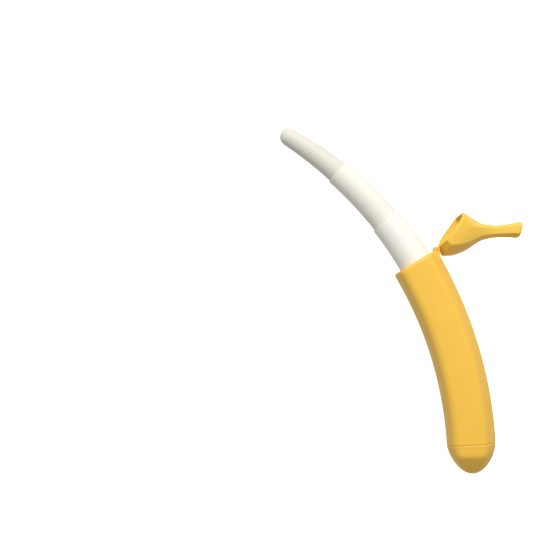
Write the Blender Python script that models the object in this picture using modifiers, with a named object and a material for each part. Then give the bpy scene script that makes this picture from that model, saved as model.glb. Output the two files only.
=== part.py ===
"""Telescoping banana: a curved sheath, a push-in end cap, a hinged lid with a stem, and a blade of
three nested stages that slide out of the sheath along one common arc.

Frame: the toy lies on its side. X and Y are the plane of the curve, Z is up, the lower flat of the
sheath is at Z = 0, and the origin is the bottom centre of the whole object with its blade drawn out.
Every length below is in millimetres until MM turns it into metres.
"""

from math import cos, pi, radians, sin, sqrt, tan

import bmesh
import bpy
from mathutils import Matrix, Vector

MM = 0.001

# --- outer arc: the skins of the sheath and the end cap are bent round it ---
ARC_RADIUS = 263.9
ARC_X, ARC_Y = -216.495, -110.41
SEAM_ANGLE = 3.4  # degrees from +X, where the end cap meets the sheath
MID_Z = 15.0  # height of the plane of the curve

# --- slide arc: the bore and all three stages share it. It is a little tighter than the outer arc
# and touches it in the middle of the sheath ---
SLIDE_RADIUS = 251.3
TOUCH_ANGLE = 20.0

# --- banana section: a rounded hexagon, symmetric about the plane of the curve ---
HALF_WIDTH = 16.8  # from the centreline to the inner and outer ridges
HALF_THICK = 15.0  # to the flat front and back
RIDGE_IN = 0.77  # where the flat front ends towards the inner curve, as a share of HALF_WIDTH
RIDGE_OUT = 0.51  # the same towards the outer curve
SIDE_ROUND = 5.0  # radius of the two side ridges
FRONT_ROUND = 6.0  # radius of the four front and back ridges
RIDGE_STEPS = 5  # segments in each rounded ridge

# --- sheath ---
SHEATH_LENGTH = 127.6  # along the centreline, seam to mouth
MOUTH_LEAN, LEAN_LENGTH = 0.05, 30.0  # the mouth reaches further on the front; where that fades out
SEAM_HALF_GAP = 0.15
MOUTH_INSET, MOUTH_ROUND = 1.4, 2.4  # how far the mouth's outer edge is rounded in, and over what length
BORE_RADIUS = 13.2
STATION = 10.0  # longest straight step along the arc
SIDES = 36  # facets round every turned body

# --- blade stages: outer radius at the mouth end, taper per mm, wall, and ends along the arc ---
STAGE_LENGTH = 100.0
STAGE_WALL = 0.75
STAGE_GAP = 0.2
BASE_TOP, BASE_RADIUS, BASE_TAPER = 161.2, 10.7, 0.0225
MIDDLE_TOP, MIDDLE_RADIUS, MIDDLE_TAPER = 207.3, 8.8, 0.0215
TIP_TOP, TIP_TAPER = 253.2, 0.0215
TIP_NARROWING = 0.043  # taper per mm of the bare part of the tip
NOSE_LENGTH = 6.5

# --- end cap ---
CAP_LENGTH = 20.4
SPIGOT_LENGTH, SPIGOT_CLEARANCE = 8.0, 0.3
CAP_TURN, CAP_SLOPE = 8.2, 0.84  # where the flat front turns over, and how steeply it then falls

# --- lid hinge, in the plane of the mouth just inside the outer ridge ---
HINGE_OFFSET = 16.1  # outwards from the centreline
BARREL_RADIUS = 1.95
PIN_RADIUS, PIN_HOLE_RADIUS = 0.875, 0.95
KNUCKLE_HALF = 2.3  # half the length of the lid's single knuckle
LUG_IN, LUG_OUT = 2.6, 6.2  # the sheath's two knuckles, measured from the middle
SWING_CLEARANCE = 0.3
KNUCKLE_ROOM = 3.2  # radius of the pocket in the sheath that the lid's knuckle and neck turn in

# --- lid, in its own frame: u from the hinge across the rim, v away from the rim ---
LID_OPEN = 156.65  # degrees from closed
LID_WALL = 1.8
RIM_GAP = 0.2
# (u, v) of the centre, tilt of the section in degrees, half width, half thickness
LID_STATIONS = (
    (15.5, 0.0, 0, 15.25, 14.2),
    (15.5, 1.1, 0, 15.5, 14.5),
    (15.2, 2.8, -1.5, 16.0, 14.5),
    (14.7, 4.6, -3.5, 16.6, 14.3),
    (15.45, 6.7, -5.2, 15.85, 13.9),
    (16.75, 9.3, -7.2, 14.75, 13.2),
    (19.05, 12.0, -11.2, 12.65, 12.0),
    (21.7, 14.4, -15.2, 10.2, 10.4),
    (24.4, 16.4, -18.2, 7.8, 8.8),
    (27.05, 18.7, -19.2, 6.05, 7.2),
    (29.65, 21.5, -20.2, 5.05, 5.7),
    (32.5, 25.0, -20.2, 4.5, 4.6),
    (36.05, 29.3, -21.2, 4.65, 4.1),
    (39.8, 33.7, -22.2, 5.3, 4.4),
    (41.9, 36.3, -23.2, 5.8, 4.9),
    (43.0, 37.7, -23.2, 5.4, 5.1),
    (43.5, 38.4, -23.2, 4.5, 4.4),
)
LID_HOLLOW = 7  # how many stations the hollow reaches
HOLLOW_END = (23.9, 15.5, -16, 4.6, 4.6)
LID_LEAN_DEPTH = 9.0  # how far into the lid the mouth's lean reaches


def clear_scene():
    for obj in list(bpy.data.objects):
        bpy.data.objects.remove(obj, do_unlink=True)


def collection(name):
    made = bpy.data.collections.new(name)
    bpy.context.scene.collection.children.link(made)
    return made


def material(name, colour, roughness, metallic=0.0):
    made = bpy.data.materials.new(name)
    made.use_nodes = True
    shader = made.node_tree.nodes["Principled BSDF"]
    shader.inputs["Base Color"].default_value = (*colour, 1.0)
    shader.inputs["Roughness"].default_value = roughness
    shader.inputs["Metallic"].default_value = metallic
    return made


def bend(along, out, up):
    """A point at a distance along the common arc, out from its centreline and up from its plane."""
    angle = radians(SEAM_ANGLE) + along / ARC_RADIUS
    reach = ARC_RADIUS + out
    return Vector(
        (ARC_X + reach * cos(angle), ARC_Y + reach * sin(angle), MID_Z + up)
    )


def outward(bm):
    """Turns every face out, whichever way the shape was laid down."""
    bmesh.ops.recalc_face_normals(bm, faces=bm.faces)
    if bm.calc_volume(signed=True) < 0:
        bmesh.ops.reverse_faces(bm, faces=bm.faces)
    return bm


def slide_centre():
    """The axis that every stage turns about as it slides."""
    angle = radians(TOUCH_ANGLE)
    apart = ARC_RADIUS - SLIDE_RADIUS
    return Vector((ARC_X + apart * cos(angle), ARC_Y + apart * sin(angle), MID_Z))


def bend_slide(along, out, up):
    """The same as bend, round the slide arc, with distances along it that agree with the outer arc's."""
    touch = radians(TOUCH_ANGLE)
    angle = touch + (along - (touch - radians(SEAM_ANGLE)) * ARC_RADIUS) / SLIDE_RADIUS
    reach = SLIDE_RADIUS + out
    return slide_centre() + Vector((reach * cos(angle), reach * sin(angle), up))


def closed(bm):
    bmesh.ops.remove_doubles(bm, verts=bm.verts, dist=1e-4)
    return outward(bm)


def add_object(name, bm, where, origin=Vector((0, 0, 0)), paint=None):
    """Puts a mesh made in millimetres into the scene in metres, with its origin at a given point."""
    for vert in bm.verts:
        vert.co = (vert.co - origin) * MM
    mesh = bpy.data.meshes.new(name)
    bm.to_mesh(mesh)
    bm.free()
    mesh.shade_smooth()
    mesh.set_sharp_from_angle(angle=radians(32))
    obj = bpy.data.objects.new(name, mesh)
    obj.location = origin * MM
    where.objects.link(obj)
    if paint:
        mesh.materials.append(paint)
    return obj


def rounded_polygon(corners, radii, steps):
    """The corners' polygon, anticlockwise, with an arc of the given radius at each corner."""
    points = []
    count = len(corners)
    for i, corner in enumerate(corners):
        here = Vector(corner)
        before = (Vector(corners[i - 1]) - here).normalized()
        after = (Vector(corners[(i + 1) % count]) - here).normalized()
        half = before.angle(after) / 2
        middle = (before + after).normalized()
        centre = here + middle * (radii[i] / sin(half))
        start = here + before * (radii[i] / tan(half)) - centre
        sweep = pi - 2 * half
        for k in range(steps + 1):
            turn = Matrix.Rotation(sweep * k / steps, 2)
            points.append(centre + turn @ start)
    return points


def banana_section(half_width, half_thick, ridge_in=RIDGE_IN, ridge_out=RIDGE_OUT):
    """Points (out, up) round the section. The outer curve is towards +out."""
    a, h = half_width, half_thick
    corners = [
        (a, 0),
        (a * ridge_out, h),
        (-a * ridge_in, h),
        (-a, 0),
        (-a * ridge_in, -h),
        (a * ridge_out, -h),
    ]
    size = min(half_width / HALF_WIDTH, half_thick / HALF_THICK)
    side, front = SIDE_ROUND * size, FRONT_ROUND * size
    return rounded_polygon(
        corners, (side, front, front, side, front, front), RIDGE_STEPS
    )


def loft(rings, cap_start=True, cap_end=True):
    """A closed skin through rings that all have the same number of points."""
    bm = bmesh.new()
    rows = [[bm.verts.new(point) for point in ring] for ring in rings]
    for low, high in zip(rows, rows[1:]):
        for i in range(len(low)):
            j = (i + 1) % len(low)
            bm.faces.new((low[i], low[j], high[j], high[i]))
    for wanted, row in ((cap_start, rows[0]), (cap_end, rows[-1])):
        if wanted:
            bm.faces.new(row)
    return closed(bm)


def stations(start, end, longest=STATION):
    count = max(1, round(abs(end - start) / longest + 0.499))
    return [start + (end - start) * i / count for i in range(count + 1)]


def turned(profile, where):
    """Turns a closed profile of (radius, along) with a Screw, then bends it round the slide arc."""
    data = bpy.data.meshes.new("profile")
    points = [(radius * MM, 0, along * MM) for radius, along in profile]
    on_axis = [radius < 1e-6 for radius, _ in profile]
    count = len(points)
    edges = [
        (i, (i + 1) % count)
        for i in range(count)
        if not (on_axis[i] and on_axis[(i + 1) % count])
    ]
    data.from_pydata(points, edges, [])
    straight = bpy.data.objects.new("profile", data)
    where.objects.link(straight)
    screw = straight.modifiers.new("turn", "SCREW")
    screw.axis = "Z"
    screw.angle = 2 * pi
    screw.steps = screw.render_steps = SIDES
    screw.use_merge_vertices = True
    screw.merge_threshold = 1e-6
    graph = bpy.context.evaluated_depsgraph_get()
    graph.update()
    solid = bpy.data.meshes.new_from_object(straight.evaluated_get(graph))
    bpy.data.objects.remove(straight, do_unlink=True)
    bm = bmesh.new()
    bm.from_mesh(solid)
    bmesh.ops.remove_doubles(bm, verts=bm.verts, dist=1e-7)
    for vert in bm.verts:
        out, up, along = vert.co / MM
        vert.co = bend_slide(along, out, up)
    return outward(bm)


def cylinder(radius, low, high, centre, sides=32):
    """A cylinder about Z at a point of the plane of the curve."""
    bm = bmesh.new()
    bmesh.ops.create_cone(
        bm,
        cap_ends=True,
        segments=sides,
        radius1=radius,
        radius2=radius,
        depth=high - low,
        matrix=Matrix.Translation((centre.x, centre.y, MID_Z + (low + high) / 2)),
    )
    return bm


def hull(points):
    bm = bmesh.new()
    verts = [bm.verts.new(point) for point in points]
    made = bmesh.ops.convex_hull(bm, input=verts)
    inside = [item for item in made["geom_interior"] if isinstance(item, bmesh.types.BMVert)]
    bmesh.ops.delete(bm, geom=inside, context="VERTS")
    return closed(bm)


def boolean(obj, tool, operation):
    modifier = obj.modifiers.new(tool.name, "BOOLEAN")
    modifier.operation = operation
    modifier.solver = "EXACT"
    modifier.object = tool
    return modifier


def tool_object(name, bm, where):
    obj = add_object(name, bm, where)
    obj.hide_render = True
    obj.display_type = "WIRE"
    return obj


def hinge_point():
    point = bend(SHEATH_LENGTH, HINGE_OFFSET, 0)
    return Vector((point.x, point.y, 0))


def make_sheath(parts, cutters, paint):
    low, high = SEAM_HALF_GAP, SHEATH_LENGTH - RIM_GAP / 2
    rings = [(low, 0.4), (low + 0.45, 0.0)]
    body = stations(low + 0.45, high - MOUTH_ROUND)
    rings += [(s, 0.0) for s in body[1:]]
    for k in range(1, 5):  # a quarter of an ellipse rounds the mouth's outer edge
        turn = pi / 2 * k / 4
        rings.append(
            (high - MOUTH_ROUND * (1 - sin(turn)), MOUTH_INSET * (1 - cos(turn)))
        )
    sections = []
    for s, inset in rings:
        lean = MOUTH_LEAN * max(0.0, 1 - (high - s) / LEAN_LENGTH)
        section = banana_section(HALF_WIDTH - inset, HALF_THICK - inset)
        sections.append([bend(s + lean * up, out, up) for out, up in section])
    skin = loft(sections)
    sheath = add_object("sheath", skin, parts, paint=paint)

    hinge = hinge_point()
    angle = radians(SEAM_ANGLE) + SHEATH_LENGTH / ARC_RADIUS
    away = Vector((cos(angle), sin(angle), 0))
    onward = Vector((-sin(angle), cos(angle), 0))
    for side, name in ((1, "front_lug"), (-1, "back_lug")):
        points = []
        for level in (LUG_IN - 0.3, LUG_OUT):  # the knuckle cutter trims the inner end
            z = MID_Z + side * level
            for k in range(32):
                turn = 2 * pi * k / 32
                points.append(
                    hinge
                    + away * (BARREL_RADIUS * cos(turn))
                    + onward * (BARREL_RADIUS * sin(turn))
                    + Vector((0, 0, z))
                )
            for out, on in ((-3.9, -2.6), (-3.9, -9.0), (-3.0, -9.0)):
                points.append(hinge + away * out + onward * on + Vector((0, 0, z)))
        boolean(sheath, tool_object(name, hull(points), cutters), "UNION")

    bore = [(0.0, -2.0), (BORE_RADIUS, -2.0)]
    base_bottom = BASE_TOP - STAGE_LENGTH
    bore += [(BORE_RADIUS, s) for s in stations(-2.0, base_bottom)[1:]]
    for s in stations(base_bottom, SHEATH_LENGTH + 4)[1:]:
        bore.append((base_outer(s) + STAGE_GAP + 0.1, s))
    bore.append((0.0, SHEATH_LENGTH + 4))
    boolean(sheath, tool_object("bore_cutter", turned(bore, cutters), cutters), "DIFFERENCE")
    swing = cylinder(KNUCKLE_ROOM, -LUG_IN, LUG_IN, hinge)
    boolean(sheath, tool_object("knuckle_cutter", swing, cutters), "DIFFERENCE")
    hole = cylinder(PIN_HOLE_RADIUS, -LUG_OUT - 1, LUG_OUT + 1, hinge, 24)
    boolean(sheath, tool_object("sheath_pin_hole", hole, cutters), "DIFFERENCE")
    return sheath


def cap_thickness(depth):
    """Share of the thickness left at a depth: the front stays flat, turns over, then closes round."""
    flat, slope = 1 - 0.004 * depth, 0.96 - (depth - CAP_TURN) * CAP_SLOPE / HALF_THICK
    soft = 0.07
    least = (flat + slope - sqrt((flat - slope) ** 2 + soft**2)) / 2
    return least * sqrt(1 - (depth / CAP_LENGTH) ** 8)


def make_end_cap(parts, cutters, paint):
    low = -SEAM_HALF_GAP
    rings = [(low, 0.4, 1.0, 1.0), (low - 0.45, 0.0, 1.0, 1.0)]
    for k in range(1, 15):  # stations crowd towards the end of the dome
        share = sin(pi / 2 * k / 15)
        depth = CAP_LENGTH * share
        if depth > 0.8:
            rings.append((-depth, 0.0, sqrt(1 - share**1.5), cap_thickness(depth)))
    sections = []
    for s, inset, wide, thick in rings:
        section = banana_section(
            (HALF_WIDTH - inset) * wide, (HALF_THICK - inset) * thick
        )
        sections.append([bend(s, out, up) for out, up in section])
    bm = loft(sections, cap_end=False)
    tip = bm.verts.new(bend(-CAP_LENGTH, 0, 0))
    rim = [edge for edge in bm.edges if edge.is_boundary]
    for edge in rim:
        bm.faces.new((*edge.verts, tip))
    outward(bm)
    cap = add_object("end_cap", bm, parts, paint=paint)
    radius = BORE_RADIUS - SPIGOT_CLEARANCE
    plug = [
        (0.0, -2.0),
        (radius, -2.0),
        (radius, SPIGOT_LENGTH - 0.8),
        (radius - 0.8, SPIGOT_LENGTH),
        (radius - 2.4, SPIGOT_LENGTH),
        (radius - 2.4, SPIGOT_LENGTH - 2.5),
        (0.0, SPIGOT_LENGTH - 2.5),
    ]
    boolean(cap, tool_object("spigot", turned(plug, cutters), cutters), "UNION")
    return cap


def base_outer(s):
    return BASE_RADIUS + BASE_TAPER * (BASE_TOP - s)


def middle_outer(s):
    """Inside the base it keeps the sliding gap; its bare part follows its own taper."""
    return MIDDLE_RADIUS + MIDDLE_TAPER * (MIDDLE_TOP - s)


def tip_outer(s):
    seat = MIDDLE_RADIUS - STAGE_WALL - STAGE_GAP
    if s <= MIDDLE_TOP:
        return seat + TIP_TAPER * (MIDDLE_TOP - s)
    return seat - TIP_NARROWING * (s - MIDDLE_TOP)


def make_tube_stage(name, top, outer, parts, paint):
    """An open tapered tube with a small round on its upper lip."""
    bottom = top - STAGE_LENGTH
    lip = 0.3
    profile = [
        (outer(top) - STAGE_WALL, top),
        (outer(top) - lip, top),
        (outer(top - lip), top - lip),
    ]
    profile += [(outer(s), s) for s in stations(top - lip, bottom)[1:]]
    profile += [(outer(s) - STAGE_WALL, s) for s in stations(bottom, top)[:-1]]
    return add_object(name, turned(profile, parts), parts, slide_centre(), paint)


def make_tip(parts, paint):
    bottom = TIP_TOP - STAGE_LENGTH
    nose = TIP_TOP - NOSE_LENGTH
    radius = tip_outer(nose)
    profile = [(0.0, TIP_TOP)]
    for k in range(5, 0, -1):  # the nose is a quarter of an ellipse
        turn = pi / 2 * k / 6
        profile.append((radius * cos(turn), nose + NOSE_LENGTH * sin(turn)))
    profile += [(tip_outer(s), s) for s in stations(nose, MIDDLE_TOP)]
    profile += [(tip_outer(s), s) for s in stations(MIDDLE_TOP, bottom)[1:]]
    profile += [(tip_outer(s) - STAGE_WALL, s) for s in stations(bottom, MIDDLE_TOP)]
    profile += [
        (tip_outer(s) - STAGE_WALL, s) for s in stations(MIDDLE_TOP, nose)[1:]
    ]
    profile += [(0.55 * radius, nose + 3.6), (0.0, nose + 4.6)]
    return add_object("blade_tip", turned(profile, parts), parts, slide_centre(), paint)


def make_lid(parts, cutters, paint):
    hinge = hinge_point()
    mouth = radians(SEAM_ANGLE) + SHEATH_LENGTH / ARC_RADIUS
    across = mouth + pi - radians(LID_OPEN)  # direction of the open rim from the hinge
    u_axis = Vector((cos(across), sin(across), 0))
    v_axis = Vector((sin(across), -cos(across), 0))

    def ring(station, wall, lift):
        u, v, tilt, half_width, half_thick = station
        share = min(1.0, v / 11.0)
        section = banana_section(
            half_width - wall,
            half_thick - wall,
            RIDGE_IN - 0.12 * share,
            RIDGE_OUT - 0.11 * share,
        )
        lean = MOUTH_LEAN * max(0.0, 1 - v / LID_LEAN_DEPTH)
        sine, cosine = sin(radians(tilt)), cos(radians(tilt))
        points = []
        for out, up in section:
            # the lid's hinge side is the outer curve, so -out runs along u
            points.append(
                hinge
                + u_axis * (u - out * cosine)
                + v_axis * (v + lift + lean * up - out * sine)
                + Vector((0, 0, MID_Z + up))
            )
        return points

    lift = RIM_GAP / 2
    outside = [ring(station, 0.0, lift) for station in LID_STATIONS]
    inside = [ring(HOLLOW_END, 0.0, lift)]
    inside += [
        ring(station, LID_WALL, lift) for station in reversed(LID_STATIONS[:LID_HOLLOW])
    ]
    skin = loft(inside + outside)
    lid = add_object("lid", skin, parts, Vector((hinge.x, hinge.y, MID_Z)), paint)

    points = []
    for z in (MID_Z - KNUCKLE_HALF - 0.3, MID_Z + KNUCKLE_HALF + 0.3):
        for k in range(32):
            turn = 2 * pi * k / 32
            points.append(
                hinge
                + u_axis * (BARREL_RADIUS * cos(turn))
                + v_axis * (BARREL_RADIUS * sin(turn))
                + Vector((0, 0, z))
            )
        for u, v in ((2.2, 3.0), (3.6, 6.0)):
            points.append(hinge + u_axis * u + v_axis * v + Vector((0, 0, z)))
    boolean(lid, tool_object("knuckle", hull(points), cutters), "UNION")
    reach = BARREL_RADIUS + SWING_CLEARANCE
    for side, name in ((1, "front_lug_room"), (-1, "back_lug_room")):
        low, high = sorted((side * KNUCKLE_HALF, side * (LUG_OUT + 0.3)))
        room = cylinder(reach, low, high, hinge)
        boolean(lid, tool_object(name, room, cutters), "DIFFERENCE")
    hole = cylinder(PIN_HOLE_RADIUS, -KNUCKLE_HALF - 1, KNUCKLE_HALF + 1, hinge, 24)
    boolean(lid, tool_object("lid_pin_hole", hole, cutters), "DIFFERENCE")
    return lid


def make_pin(parts, paint):
    hinge = hinge_point()
    bm = cylinder(PIN_RADIUS, -LUG_OUT + 0.1, LUG_OUT - 0.1, hinge, 24)
    return add_object(
        "lid_hinge_pin", bm, parts, Vector((hinge.x, hinge.y, MID_Z)), paint
    )


def main():
    clear_scene()
    parts = collection("telescoping_banana")
    cutters = collection("cutters")
    cutters.hide_render = False
    yellow = (0.87, 0.53, 0.075)
    white = (0.86, 0.84, 0.78)
    make_sheath(parts, cutters, material("sheath_plastic", yellow, 0.42))
    make_end_cap(parts, cutters, material("end_cap_plastic", yellow, 0.42))
    make_lid(parts, cutters, material("lid_plastic", yellow, 0.42))
    make_pin(parts, material("pin_plastic", (0.85, 0.5, 0.07), 0.5))
    make_tube_stage(
        "blade_base", BASE_TOP, base_outer, parts, material("base_plastic", white, 0.45)
    )
    make_tube_stage(
        "blade_middle",
        MIDDLE_TOP,
        middle_outer,
        parts,
        material("middle_plastic", white, 0.45),
    )
    make_tip(parts, material("tip_plastic", white, 0.45))


main()
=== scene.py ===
"""Looks of the telescoping banana toy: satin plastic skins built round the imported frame."""

from math import atan2, cos, pi, radians, sin, sqrt, tan

import bmesh
import bpy
from mathutils import Matrix, Vector


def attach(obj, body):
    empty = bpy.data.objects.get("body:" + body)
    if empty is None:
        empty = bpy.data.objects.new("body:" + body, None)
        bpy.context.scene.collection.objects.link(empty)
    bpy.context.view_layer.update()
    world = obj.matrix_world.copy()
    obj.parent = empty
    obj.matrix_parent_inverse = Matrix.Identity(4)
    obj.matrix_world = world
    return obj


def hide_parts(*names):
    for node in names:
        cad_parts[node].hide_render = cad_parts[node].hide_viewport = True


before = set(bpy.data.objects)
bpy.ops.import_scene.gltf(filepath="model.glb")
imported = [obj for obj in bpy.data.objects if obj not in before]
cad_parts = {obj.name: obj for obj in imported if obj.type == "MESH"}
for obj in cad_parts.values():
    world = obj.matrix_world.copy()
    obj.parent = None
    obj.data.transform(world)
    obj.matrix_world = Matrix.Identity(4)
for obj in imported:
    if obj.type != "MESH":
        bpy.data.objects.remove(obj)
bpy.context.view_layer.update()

MM = 0.001

# ---------------------------------------------------------------- dimensions, as in the CAD (mm)
ARC_RADIUS, ARC_X, ARC_Y = 263.9, -216.495, -110.41
SEAM_ANGLE, MID_Z = 3.4, 15.0
SLIDE_RADIUS, TOUCH_ANGLE = 251.3, 20.0
HALF_WIDTH, HALF_THICK = 16.8, 15.0
RIDGE_IN, RIDGE_OUT = 0.77, 0.51
SIDE_ROUND, FRONT_ROUND = 5.0, 6.0
SHEATH_LENGTH, RIM_GAP, SEAM_HALF_GAP = 127.6, 0.2, 0.15
MOUTH_LEAN, LEAN_LENGTH, LID_LEAN_DEPTH = 0.05, 30.0, 9.0
MOUTH_INSET, MOUTH_ROUND = 1.4, 2.4
BORE_RADIUS = 13.2
STAGE_LENGTH, STAGE_WALL, STAGE_GAP = 100.0, 0.75, 0.2
BASE_TOP, BASE_RADIUS, BASE_TAPER = 161.2, 10.7, 0.0225
MIDDLE_TOP, MIDDLE_RADIUS, MIDDLE_TAPER = 207.3, 8.8, 0.0215
TIP_TOP, TIP_TAPER, TIP_NARROWING, NOSE_LENGTH = 253.2, 0.0215, 0.043, 6.5
CAP_LENGTH, CAP_TURN, CAP_SLOPE = 20.4, 8.2, 0.84
SPIGOT_LENGTH, SPIGOT_CLEARANCE = 8.0, 0.3
HINGE_OFFSET, BARREL_RADIUS, PIN_HOLE_RADIUS = 16.1, 1.95, 0.95
KNUCKLE_HALF, LUG_IN, LUG_OUT, KNUCKLE_ROOM, SWING_CLEARANCE = 2.3, 2.6, 6.2, 3.2, 0.3
LID_OPEN, LID_WALL = 156.65, 1.8

PIN_RADIUS = 0.875
FRONT_CROWN, SIDE_CROWN = 0.34, 0.22  # how far the middle of each flat stands above its edges
ROUND_STEPS, FLAT_STEPS = 9, 8  # steps in each ridge and along each flat
TURNED_SIDES = 112


# ---------------------------------------------------------------- the two arcs
def slide_centre():
    angle = radians(TOUCH_ANGLE)
    apart = ARC_RADIUS - SLIDE_RADIUS
    return Vector((ARC_X + apart * cos(angle), ARC_Y + apart * sin(angle), MID_Z))


def bend(along, out, up):
    angle = radians(SEAM_ANGLE) + along / ARC_RADIUS
    reach = ARC_RADIUS + out
    return Vector((ARC_X + reach * cos(angle), ARC_Y + reach * sin(angle), MID_Z + up))


def bend_slide(along, out, up):
    touch = radians(TOUCH_ANGLE)
    angle = touch + (along - (touch - radians(SEAM_ANGLE)) * ARC_RADIUS) / SLIDE_RADIUS
    reach = SLIDE_RADIUS + out
    return slide_centre() + Vector((reach * cos(angle), reach * sin(angle), up))


def hinge_point():
    point = bend(SHEATH_LENGTH, HINGE_OFFSET, 0)
    return Vector((point.x, point.y, MID_Z))


# (u, v) of the centre, tilt of the section in degrees, half width, half thickness
LID_STATIONS = (
    (15.5, 0.0, 0, 15.25, 14.2),
    (15.5, 1.1, 0, 15.5, 14.5),
    (15.2, 2.8, -1.5, 16.0, 14.5),
    (14.7, 4.6, -3.5, 16.6, 14.3),
    (15.45, 6.7, -5.2, 15.85, 13.9),
    (16.75, 9.3, -7.2, 14.75, 13.2),
    (19.05, 12.0, -11.2, 12.65, 12.0),
    (21.7, 14.4, -15.2, 10.2, 10.4),
    (24.4, 16.4, -18.2, 7.8, 8.8),
    (27.05, 18.7, -19.2, 6.05, 7.2),
    (29.65, 21.5, -20.2, 5.05, 5.7),
    (32.5, 25.0, -20.2, 4.5, 4.6),
    (36.05, 29.3, -21.2, 4.65, 4.1),
    (39.8, 33.7, -22.2, 5.3, 4.4),
    (41.9, 36.3, -23.2, 5.8, 4.9),
    (43.0, 37.7, -23.2, 5.4, 5.1),
    (43.5, 38.4, -23.2, 4.5, 4.4),
)
LID_HOLLOW = 7
LID_FRONT_ROUND = 3.2  # the lid's ridges are crisper than the sheath's
HOLLOW_END = (23.9, 15.5, -16, 4.6, 4.6)


# ---------------------------------------------------------------- outlines
def rounded_polygon(corners, radii, steps, flat_steps, crowns):
    """Corners joined by arcs, each side between two arcs slightly crowned outwards."""
    arcs = []
    count = len(corners)
    for i, corner in enumerate(corners):
        here = Vector(corner)
        before = (Vector(corners[i - 1]) - here).normalized()
        after = (Vector(corners[(i + 1) % count]) - here).normalized()
        half = before.angle(after) / 2
        middle = (before + after).normalized()
        centre = here + middle * (radii[i] / sin(half))
        start = here + before * (radii[i] / tan(half)) - centre
        sweep = pi - 2 * half
        arcs.append(
            [centre + Matrix.Rotation(sweep * k / steps, 2) @ start for k in range(steps + 1)]
        )
    points = []
    for i in range(count):
        points += arcs[i]
        a, b = arcs[i][-1], arcs[(i + 1) % count][0]
        run = b - a
        normal = Vector((run.y, -run.x)).normalized()
        for k in range(1, flat_steps):
            t = k / flat_steps
            points.append(a + run * t + normal * crowns[i] * 4 * t * (1 - t))
    return points


def banana_section(
    half_width, half_thick, ridge_in=RIDGE_IN, ridge_out=RIDGE_OUT, front_round=FRONT_ROUND
):
    """Points (out, up) round the section, its front and back flats a little crowned."""
    size = min(half_width / HALF_WIDTH, half_thick / HALF_THICK)
    front_crown, side_crown = FRONT_CROWN * size, SIDE_CROWN * size
    a, h = half_width, half_thick - front_crown
    corners = [
        (a, 0),
        (a * ridge_out, h),
        (-a * ridge_in, h),
        (-a, 0),
        (-a * ridge_in, -h),
        (a * ridge_out, -h),
    ]
    side, front = SIDE_ROUND * size, front_round * size
    return rounded_polygon(
        corners,
        (side, front, front, side, front, front),
        ROUND_STEPS,
        FLAT_STEPS,
        (side_crown, front_crown, side_crown, side_crown, front_crown, side_crown),
    )


def circle_like(section, radius):
    """A circle's points at the same bearings as the section's."""
    bearings = [atan2(p[1], p[0]) for p in section]
    return [Vector((radius * cos(b), radius * sin(b))) for b in bearings]


def spread(start, end, step):
    count = max(1, round(abs(end - start) / step + 0.499))
    return [start + (end - start) * i / count for i in range(count + 1)]


def between(rows, t):
    """Row t of a table of numbers, running smoothly through the whole rows."""
    last = len(rows) - 1
    i = min(int(t), last - 1)
    f = t - i
    found = (rows[max(0, i - 1)], rows[i], rows[i + 1], rows[min(last, i + 2)])
    return tuple(
        0.5
        * (
            2 * b
            + (c - a) * f
            + (2 * a - 5 * b + 4 * c - d) * f * f
            + (3 * b - a - 3 * c + d) * f**3
        )
        for a, b, c, d in zip(*found)
    )


# ---------------------------------------------------------------- mesh making
def outward(bm):
    bmesh.ops.recalc_face_normals(bm, faces=bm.faces)
    if bm.calc_volume(signed=True) < 0:
        bmesh.ops.reverse_faces(bm, faces=bm.faces)
    return bm


def skin(rings, loop=False, start_pole=None, end_pole=None):
    """Quads through rings of equal length, closed by poles or by joining the last to the first."""
    bm = bmesh.new()
    rows = [[bm.verts.new(p) for p in ring] for ring in rings]
    pairs = list(zip(rows, rows[1:]))
    if loop:
        pairs.append((rows[-1], rows[0]))
    for low, high in pairs:
        count = len(low)
        for i in range(count):
            j = (i + 1) % count
            bm.faces.new((low[i], low[j], high[j], high[i]))
    for pole, row in ((start_pole, rows[0]), (end_pole, rows[-1])):
        if pole is not None:
            tip = bm.verts.new(pole)
            for i in range(len(row)):
                bm.faces.new((row[i], row[(i + 1) % len(row)], tip))
    return outward(bm)


def outline_round(discs, inset=0.0, steps=120):
    """The convex outline round discs (x, y, radius), pulled in by inset: one point a bearing."""
    points = []
    for k in range(steps):
        angle = 2 * pi * (k + 0.5) / steps
        away = Vector((cos(angle), sin(angle)))
        reach = [Vector((x, y)).dot(away) + r - inset for x, y, r in discs]
        x, y, r = discs[reach.index(max(reach))]
        points.append(Vector((x, y)) + away * (r - inset))
    return points


def upright(discs, low, high, place, edge_low=0.0, edge_high=0.0):
    """A slab with that outline from height low to high, its ends rounded over the given edges."""
    levels = []
    for k in range(5 if edge_low else 1):
        turn = pi / 2 * k / 4
        levels.append((low + edge_low * (1 - cos(turn)), edge_low * (1 - sin(turn))))
    for k in range(4 if edge_high else 0, -1, -1):
        turn = pi / 2 * k / 4
        levels.append((high - edge_high * (1 - cos(turn)), edge_high * (1 - sin(turn))))
    rings = [[place(p.x, p.y, z) for p in outline_round(discs, inset)] for z, inset in levels]
    bm = skin(rings)
    for ring_index in (0, len(rings) - 1):
        count = len(rings[0])
        bm.verts.ensure_lookup_table()
        bm.faces.new([bm.verts[ring_index * count + i] for i in range(count)])
    bmesh.ops.remove_doubles(bm, verts=bm.verts, dist=1e-4)
    return outward(bm)


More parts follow.
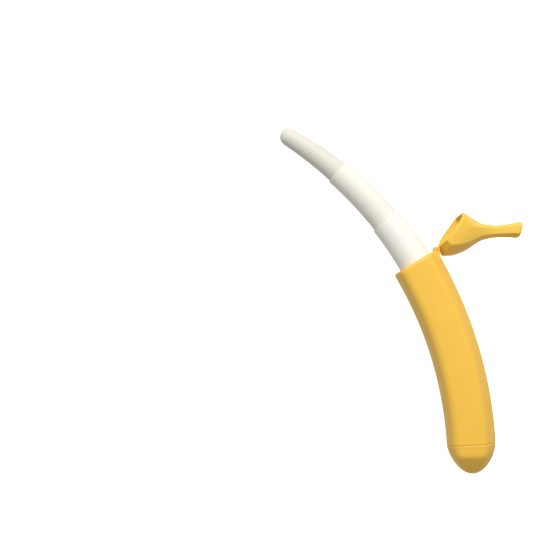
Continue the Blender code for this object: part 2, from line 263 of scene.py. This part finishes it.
def carve(bm, *steps):
    """The mesh after the Booleans, in order; each step is (operation, mesh)."""
    held = []

    def temporary(shape):
        mesh = bpy.data.meshes.new("work")
        shape.to_mesh(mesh)
        shape.free()
        obj = bpy.data.objects.new("work", mesh)
        bpy.context.scene.collection.objects.link(obj)
        held.append(obj)
        return obj

    body = temporary(bm)
    for operation, shape in steps:
        modifier = body.modifiers.new("cut", "BOOLEAN")
        modifier.operation = operation
        modifier.solver = "EXACT"
        modifier.object = temporary(shape)
    graph = bpy.context.evaluated_depsgraph_get()
    graph.update()
    made = bpy.data.meshes.new_from_object(body.evaluated_get(graph))
    out = bmesh.new()
    out.from_mesh(made)
    bpy.data.meshes.remove(made)
    for obj in held:
        mesh = obj.data
        bpy.data.objects.remove(obj, do_unlink=True)
        bpy.data.meshes.remove(mesh)
    return out


def add_piece(name, bm, body, nodes, paint, sharp=38):
    bmesh.ops.remove_doubles(bm, verts=bm.verts, dist=1e-4)
    bmesh.ops.dissolve_degenerate(bm, edges=bm.edges, dist=1e-4)
    outward(bm)
    for vert in bm.verts:
        vert.co *= MM
    mesh = bpy.data.meshes.new(name)
    bm.to_mesh(mesh)
    bm.free()
    mesh.materials.clear()
    mesh.materials.append(paint)
    for face in mesh.polygons:
        face.material_index = 0
    mesh.shade_smooth()
    mesh.set_sharp_from_angle(angle=radians(sharp))
    obj = bpy.data.objects.new(name, mesh)
    bpy.context.scene.collection.objects.link(obj)
    even = obj.modifiers.new("even_shading", "WEIGHTED_NORMAL")
    even.keep_sharp = True
    even.weight = 60
    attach(obj, body)
    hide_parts(*nodes)
    return obj


# ---------------------------------------------------------------- materials
def plastic(name, colour, deep, rough, grain_scale=1500.0, grain_height=0.25):
    """Moulded satin plastic: faint cloudiness in the colour, drawn-out scuffs in the gloss, a fine
    moulded grain in the surface and edges rubbed a little paler."""
    made = bpy.data.materials.new(name)
    made.use_nodes = True
    tree = made.node_tree
    link = tree.links.new
    shader = tree.nodes["Principled BSDF"]

    def noise(scale, detail, vector):
        new = tree.nodes.new("ShaderNodeTexNoise")
        new.inputs["Scale"].default_value = scale
        new.inputs["Detail"].default_value = detail
        link(vector, new.inputs["Vector"])
        return new.outputs["Fac"]

    def ranged(value, low, high, to_low, to_high):
        new = tree.nodes.new("ShaderNodeMapRange")
        new.inputs["From Min"].default_value = low
        new.inputs["From Max"].default_value = high
        new.inputs["To Min"].default_value = to_low
        new.inputs["To Max"].default_value = to_high
        link(value, new.inputs["Value"])
        return new.outputs["Result"]

    where = tree.nodes.new("ShaderNodeTexCoord").outputs["Object"]
    cloud = ranged(noise(34.0, 3.0, where), 0.32, 0.68, 0.0, 1.0)
    paint = tree.nodes.new("ShaderNodeMix")
    paint.data_type = "RGBA"
    paint.inputs[6].default_value = (*deep, 1)
    paint.inputs[7].default_value = (*colour, 1)
    link(cloud, paint.inputs["Factor"])

    pointed = tree.nodes.new("ShaderNodeNewGeometry").outputs["Pointiness"]
    worn = tree.nodes.new("ShaderNodeMix")
    worn.data_type = "RGBA"
    worn.inputs[7].default_value = (*[min(0.96, c * 1.05 + 0.015) for c in colour], 1)
    link(ranged(pointed, 0.52, 0.62, 0.0, 0.4), worn.inputs["Factor"])
    link(paint.outputs[2], worn.inputs[6])
    link(worn.outputs[2], shader.inputs["Base Color"])

    drawn = tree.nodes.new("ShaderNodeMapping")
    drawn.inputs["Rotation"].default_value = (0.0, 0.0, 0.35)
    drawn.inputs["Scale"].default_value = (1.0, 0.16, 1.0)
    link(where, drawn.inputs["Vector"])
    scuffs = noise(420.0, 4.0, drawn.outputs["Vector"])
    link(ranged(scuffs, 0.35, 0.75, rough - 0.03, rough + 0.08), shader.inputs["Roughness"])

    fine = noise(grain_scale, 2.0, where)
    bump = tree.nodes.new("ShaderNodeBump")
    bump.inputs["Strength"].default_value = grain_height
    bump.inputs["Distance"].default_value = 0.00005
    link(fine, bump.inputs["Height"])
    wide = tree.nodes.new("ShaderNodeBump")  # the slow waviness of a moulding as it cools
    wide.inputs["Strength"].default_value = 0.12
    wide.inputs["Distance"].default_value = 0.0006
    link(noise(55.0, 1.0, where), wide.inputs["Height"])
    link(wide.outputs["Normal"], bump.inputs["Normal"])
    link(bump.outputs["Normal"], shader.inputs["Normal"])
    shader.inputs["IOR"].default_value = 1.46
    shader.inputs["Specular IOR Level"].default_value = 0.25
    return made


# ---------------------------------------------------------------- the pieces
def base_outer(s):
    return BASE_RADIUS + BASE_TAPER * (BASE_TOP - s)


def middle_outer(s):
    return MIDDLE_RADIUS + MIDDLE_TAPER * (MIDDLE_TOP - s)


def tip_outer(s):
    seat = MIDDLE_RADIUS - STAGE_WALL - STAGE_GAP
    if s <= MIDDLE_TOP:
        return seat + TIP_TAPER * (MIDDLE_TOP - s)
    return seat - TIP_NARROWING * (s - MIDDLE_TOP)


def bore_radius(s):
    bottom = BASE_TOP - STAGE_LENGTH
    return BORE_RADIUS if s < bottom else base_outer(s) + STAGE_GAP + 0.1


def hinge_axes():
    mouth = radians(SEAM_ANGLE) + SHEATH_LENGTH / ARC_RADIUS
    away = Vector((cos(mouth), sin(mouth), 0))
    onward = Vector((-sin(mouth), cos(mouth), 0))
    across = mouth + pi - radians(LID_OPEN)
    u_axis = Vector((cos(across), sin(across), 0))
    v_axis = Vector((sin(across), -cos(across), 0))
    return hinge_point(), away, onward, u_axis, v_axis


def make_sheath(paint):
    low, high = SEAM_HALF_GAP, SHEATH_LENGTH - RIM_GAP / 2
    stations = [(low, 0.2), (low + 0.03, 0.1), (low + 0.1, 0.03), (low + 0.22, 0.0)]
    stations += [(s, 0.0) for s in spread(low + 0.22, high - MOUTH_ROUND, 2.4)[1:]]
    for k in range(1, 10):
        turn = pi / 2 * k / 9
        stations.append((high - MOUTH_ROUND * (1 - sin(turn)), MOUTH_INSET * (1 - cos(turn))))

    def leaning(s, up):
        return s + MOUTH_LEAN * up * max(0.0, 1 - (high - s) / LEAN_LENGTH)

    rings = []
    for s, inset in stations:
        section = banana_section(HALF_WIDTH - inset, HALF_THICK - inset)
        rings.append([bend(leaning(s, up), out, up) for out, up in section])
    top = banana_section(HALF_WIDTH - MOUTH_INSET, HALF_THICK - MOUTH_INSET)
    edge = 0.35
    rim = rings[-1]
    lip = [
        bend_slide(leaning(high, p.y), *p) for p in circle_like(top, bore_radius(high) + edge)
    ]
    rings.append([a.lerp(b, 0.5) for a, b in zip(rim, lip)])
    for k in range(5):
        turn = pi / 2 * k / 4
        s = high - edge * (1 - cos(turn))
        radius = bore_radius(high) + edge * (1 - sin(turn))
        rings.append([bend_slide(leaning(s, p.y), *p) for p in circle_like(top, radius)])
    for s in spread(high - edge, low + 0.3, 3.2)[1:]:
        ring = circle_like(top, bore_radius(s))
        rings.append([bend_slide(leaning(s, p.y), *p) for p in ring])
    foot = [bend_slide(low, *p) for p in circle_like(top, BORE_RADIUS + 0.3)]
    rings.append(foot)
    rings.append([a.lerp(b, 0.5) for a, b in zip(foot, rings[0])])
    shell = skin(rings, loop=True)

    hinge, away, onward, _, _ = hinge_axes()

    def place(out, on, z):
        return hinge + away * out + onward * on + Vector((0, 0, z))

    discs = ((0, 0, BARREL_RADIUS), (-3.5, -3.0, 0.4), (-3.5, -8.6, 0.4), (-3.4, -8.6, 0.4))
    front = upright(discs, LUG_IN - 0.3, LUG_OUT, place, edge_high=0.45)
    back = upright(discs, -LUG_OUT, -LUG_IN + 0.3, place, edge_low=0.45)
    pocket = upright(((0, 0, KNUCKLE_ROOM),), -LUG_IN, LUG_IN, place)
    hole = upright(((0, 0, PIN_HOLE_RADIUS),), -LUG_OUT - 1, LUG_OUT + 1, place)
    solid = carve(
        shell, ("UNION", front), ("UNION", back), ("DIFFERENCE", pocket), ("DIFFERENCE", hole)
    )
    return add_piece("v_sheath", solid, "sheath_body", ["sheath"], paint)


def cap_thickness(depth):
    """Share of the thickness left at a depth: the front stays flat, turns over, then closes round."""
    flat, slope = 1 - 0.004 * depth, 0.96 - (depth - CAP_TURN) * CAP_SLOPE / HALF_THICK
    least = (flat + slope - sqrt((flat - slope) ** 2 + 0.07**2)) / 2
    return least * sqrt(1 - (depth / CAP_LENGTH) ** 8)


def make_end_cap(paint):
    low = 0.0  # the two edges nearly meet, so the seam reads as a hairline
    rings, pole = [], bend(-CAP_LENGTH, 0, 0)
    for k in range(39, 0, -1):
        share = sin(pi / 2 * k / 40)
        depth = CAP_LENGTH * share
        if depth > 0.6:
            section = banana_section(
                HALF_WIDTH * sqrt(1 - share**1.5), HALF_THICK * cap_thickness(depth)
            )
            rings.append([bend(-depth, *p) for p in section])
    for down, inset in ((0.95, 0.0), (0.55, 0.08), (0.27, 0.22), (0.09, 0.42), (0.0, 0.62)):
        section = banana_section(HALF_WIDTH - inset, HALF_THICK - inset)
        rings.append([bend(low - down, *p) for p in section])
    radius = BORE_RADIUS - SPIGOT_CLEARANCE
    last = rings[-1]
    shoulder = [bend_slide(low, *p) for p in circle_like(section, radius)]
    rings.append([a.lerp(b, 0.5) for a, b in zip(last, shoulder)])
    rings.append(shoulder)
    for r, s in (
        (radius, 2.4),
        (radius, 4.8),
        (radius, SPIGOT_LENGTH - 0.8),
        (radius - 0.8, SPIGOT_LENGTH),
        (radius - 2.4, SPIGOT_LENGTH),
        (radius - 2.4, SPIGOT_LENGTH - 2.5),
        (radius / 2, SPIGOT_LENGTH - 2.5),
    ):
        rings.append([bend_slide(s, *p) for p in circle_like(section, r)])
    solid = skin(rings, start_pole=pole, end_pole=bend_slide(SPIGOT_LENGTH - 2.5, 0, 0))
    return add_piece("v_end_cap", solid, "sheath_body", ["end_cap"], paint)


def make_lid(paint):
    hinge, _, _, u_axis, v_axis = hinge_axes()
    def ring(station, wall, lift):
        u, v, tilt, half_width, half_thick = station
        share = min(1.0, max(0.0, v / 11.0))
        lean = MOUTH_LEAN * max(0.0, 1 - v / LID_LEAN_DEPTH)
        section = banana_section(
            half_width - wall,
            half_thick - wall,
            RIDGE_IN - 0.12 * share,
            RIDGE_OUT - 0.11 * share,
            LID_FRONT_ROUND,
        )
        sine, cosine = sin(radians(tilt)), cos(radians(tilt))
        return [
            hinge
            + u_axis * (u - out * cosine)
            + v_axis * (v + lift + lean * up - out * sine)
            + Vector((0, 0, up))
            for out, up in section
        ]

    lift = RIM_GAP / 2
    hollow = [*LID_STATIONS[:LID_HOLLOW]]
    rings = []
    end_u, end_v, end_tilt, end_width, end_thick = HOLLOW_END
    for scale in (0.35, 0.7, 0.88, 1.0):
        rings.append(ring((end_u, end_v, end_tilt, end_width * scale, end_thick * scale), 0.0, lift - 0.25 * scale**4))
    inner = [
        (u, v, tilt, width - LID_WALL, thick - LID_WALL) for u, v, tilt, width, thick in hollow
    ]
    inner.append(HOLLOW_END)
    for t in spread(LID_HOLLOW - 0.12, 0.55, 0.18):
        rings.append(ring(between(inner, t), 0.0, lift))
    edge = 0.3
    for k in range(4, -1, -1):
        turn = pi / 2 * k / 4
        rings.append(
            ring(LID_STATIONS[0], LID_WALL - edge * (1 - sin(turn)), lift + edge * (1 - cos(turn)))
        )
    edge = 0.4
    for k in range(5):
        turn = pi / 2 * k / 4
        rings.append(
            ring(LID_STATIONS[0], edge * (1 - sin(turn)), lift + edge * (1 - cos(turn)))
        )
    for t in spread(0.6, len(LID_STATIONS) - 1.0, 0.2):
        rings.append(ring(between(LID_STATIONS, t), 0.0, lift))
    u, v, tilt, width, thick = LID_STATIONS[-1]
    rings.append(ring((u + 0.02, v + 0.02, tilt, width - 0.35, thick - 0.35), 0.0, lift))
    for scale, sink in ((0.8, 0.1), (0.5, 0.25), (0.2, 0.3)):
        rings.append(
            ring((u - sink * 0.7, v - sink * 0.7, tilt, width * scale, thick * scale), 0.0, lift)
        )
    start = hinge + u_axis * end_u + v_axis * (end_v + lift)
    end = hinge + u_axis * (u - 0.2) + v_axis * (v - 0.2 + lift)
    shell = skin(rings, start_pole=start, end_pole=end)

    def place(x, y, z):
        return hinge + u_axis * x + v_axis * y + Vector((0, 0, z))

    discs = ((0, 0, BARREL_RADIUS), (2.4, 3.2, 0.3), (3.5, 5.6, 0.3))
    knuckle = upright(discs, -KNUCKLE_HALF - 0.3, KNUCKLE_HALF + 0.3, place)
    reach = BARREL_RADIUS + SWING_CLEARANCE
    front = upright(((0, 0, reach),), KNUCKLE_HALF, LUG_OUT + 0.3, place)
    back = upright(((0, 0, reach),), -LUG_OUT - 0.3, -KNUCKLE_HALF, place)
    hole = upright(((0, 0, PIN_HOLE_RADIUS),), -KNUCKLE_HALF - 1, KNUCKLE_HALF + 1, place)
    solid = carve(
        shell,
        ("UNION", knuckle),
        ("DIFFERENCE", front),
        ("DIFFERENCE", back),
        ("DIFFERENCE", hole),
    )
    return add_piece("v_lid", solid, "lid_body", ["lid"], paint)


def make_pin(paint):
    hinge, away, onward, _, _ = hinge_axes()

    def place(x, y, z):
        return hinge + away * x + onward * y + Vector((0, 0, z))

    end = LUG_OUT - 0.1
    solid = upright(((0, 0, PIN_RADIUS),), -end, end, place, edge_low=0.25, edge_high=0.25)
    return add_piece("v_hinge_pin", solid, "sheath_body", ["lid_hinge_pin"], paint)


def turned_ring(radius, along):
    return [
        bend_slide(
            along,
            radius * cos(2 * pi * k / TURNED_SIDES),
            radius * sin(2 * pi * k / TURNED_SIDES),
        )
        for k in range(TURNED_SIDES)
    ]


def make_tube_stage(name, top, outer, body, paint):
    bottom, lip = top - STAGE_LENGTH, 0.34
    profile = [(outer(bottom) - 0.2, bottom), (outer(bottom), bottom + 0.2)]
    profile += [(outer(s), s) for s in spread(bottom + 0.2, top - lip, 2.5)[1:]]
    for k in range(1, 5):
        turn = pi / 2 * k / 4
        profile.append((outer(top) - lip * (1 - cos(turn)), top - lip * (1 - sin(turn))))
    inner_lip = STAGE_WALL - lip - 0.08
    for k in range(0, 3):
        turn = pi / 2 * k / 2
        profile.append(
            (outer(top) - STAGE_WALL + inner_lip * (1 - sin(turn)), top - inner_lip * (1 - cos(turn)))
        )
    profile += [(outer(s) - STAGE_WALL, s) for s in spread(top - inner_lip, bottom, 2.5)[1:]]
    solid = skin([turned_ring(r, s) for r, s in profile], loop=True)
    return add_piece("v_" + name, solid, body, [name], paint)


def make_tip(paint):
    bottom = TIP_TOP - STAGE_LENGTH
    nose = TIP_TOP - NOSE_LENGTH
    radius = tip_outer(nose)
    inside = [(0.28 * radius, nose + 4.4), (0.55 * radius, nose + 3.6)]
    inside += [(tip_outer(s) - STAGE_WALL, s) for s in spread(nose, bottom, 2.5)]
    outside = [(tip_outer(s), s) for s in spread(bottom, nose, 2.5)]
    for k in range(1, 16):
        turn = pi / 2 * k / 16
        outside.append((radius * cos(turn), nose + NOSE_LENGTH * sin(turn)))
    solid = skin(
        [turned_ring(r, s) for r, s in inside + outside],
        start_pole=bend_slide(nose + 4.6, 0, 0),
        end_pole=bend_slide(TIP_TOP, 0, 0),
    )
    return add_piece("v_blade_tip", solid, "tip_stage", ["blade_tip"], paint)


# ---------------------------------------------------------------- the studio
def make_floor():
    bm = bmesh.new()
    bmesh.ops.create_grid(bm, x_segments=24, y_segments=24, size=6.0)
    mesh = bpy.data.meshes.new("studio_floor")
    bm.to_mesh(mesh)
    bm.free()
    made = bpy.data.materials.new("pale_floor")
    made.use_nodes = True
    shader = made.node_tree.nodes["Principled BSDF"]
    grain = made.node_tree.nodes.new("ShaderNodeTexNoise")
    grain.inputs["Scale"].default_value = 3.0
    tone = made.node_tree.nodes.new("ShaderNodeMapRange")
    tone.inputs["To Min"].default_value = 0.86
    tone.inputs["To Max"].default_value = 0.9
    made.node_tree.links.new(grain.outputs["Fac"], tone.inputs["Value"])
    made.node_tree.links.new(tone.outputs["Result"], shader.inputs["Roughness"])
    shader.inputs["Base Color"].default_value = (0.92, 0.92, 0.92, 1)
    shader.inputs["Specular IOR Level"].default_value = 0.0
    shader.inputs["Emission Color"].default_value = (1, 1, 1, 1)
    shader.inputs["Emission Strength"].default_value = FLOOR_GLOW
    mesh.materials.append(made)
    floor = bpy.data.objects.new("studio_floor", mesh)
    floor.location = (-0.08, 0.0, -0.0004)
    floor.visible_diffuse = False  # the air below stands in for its bounce
    floor.visible_glossy = False
    bpy.context.scene.collection.objects.link(floor)


def area_light(name, place, target, size, power, colour=(1, 1, 1)):
    data = bpy.data.lights.new(name, "AREA")
    data.shape = "DISK"
    data.size = size
    data.energy = power
    data.color = colour
    obj = bpy.data.objects.new(name, data)
    obj.location = place
    obj.rotation_euler = (Vector(target) - Vector(place)).to_track_quat("-Z", "Y").to_euler()
    bpy.context.scene.collection.objects.link(obj)


def make_studio():
    world = bpy.data.worlds.new("studio_air")
    bpy.context.scene.world = world
    world.use_nodes = True
    air = world.node_tree.nodes["Background"]
    air.inputs["Color"].default_value = (1, 1, 1, 1)
    where = world.node_tree.nodes.new("ShaderNodeTexCoord")
    split = world.node_tree.nodes.new("ShaderNodeSeparateXYZ")
    level = world.node_tree.nodes.new("ShaderNodeMapRange")
    level.inputs["From Min"].default_value = -0.25
    level.inputs["From Max"].default_value = 0.25
    level.inputs["To Min"].default_value = AIR_BELOW
    level.inputs["To Max"].default_value = AIR_ABOVE
    link = world.node_tree.links.new
    link(where.outputs["Generated"], split.inputs["Vector"])
    link(split.outputs["Z"], level.inputs["Value"])
    link(level.outputs["Result"], air.inputs["Strength"])
    for name, place, size, power in LIGHTS:
        area_light(name, place, (-0.02, 0.0, 0.015), size, power)
    make_floor()


def make_camera():
    data = bpy.data.cameras.new("photo_camera")
    data.type = "PERSP"
    data.lens = 98.0
    data.sensor_width = 36.0
    data.clip_start, data.clip_end = 0.01, 20.0
    camera = bpy.data.objects.new("photo_camera", data)
    camera.location = (-0.0838 + 0.000285 - 0.0003, 0.01686, 1.015)
    bpy.context.scene.collection.objects.link(camera)
    bpy.context.scene.camera = camera


# ---------------------------------------------------------------- making it
FLOOR_GLOW = 0.85
AIR_ABOVE, AIR_BELOW = 0.4, 0.7
LIGHTS = (("key", (0.06, 1.49, 1.57), 1.15, 44.5),)

make_camera()
make_studio()
yellow = plastic("banana_yellow", (0.90, 0.545, 0.080), (0.875, 0.52, 0.070), 0.40)
# The three white stages are painted greyer stage by stage towards the tip: painted shade, a fall of light along the
# blade put into the paint.
white = plastic("fruit_white_base", (0.875, 0.855, 0.775), (0.855, 0.83, 0.745), 0.48)
white_middle = plastic("fruit_white_middle", (0.81, 0.785, 0.70), (0.79, 0.76, 0.67), 0.48)
white_tip = plastic("fruit_white_tip", (0.695, 0.67, 0.59), (0.675, 0.645, 0.56), 0.48)
make_sheath(yellow)
make_end_cap(yellow)
make_lid(plastic("lid_yellow", (0.905, 0.575, 0.088), (0.885, 0.55, 0.078), 0.40))
make_pin(plastic("pin_yellow", (0.86, 0.50, 0.075), (0.83, 0.47, 0.065), 0.34))
make_tube_stage("blade_base", BASE_TOP, base_outer, "base_stage", white)
make_tube_stage("blade_middle", MIDDLE_TOP, middle_outer, "middle_stage", white_middle)
make_tip(white_tip)

scene = bpy.context.scene
scene.view_settings.view_transform = "Standard"
scene.view_settings.look = "None"

bpy.context.view_layer.update()
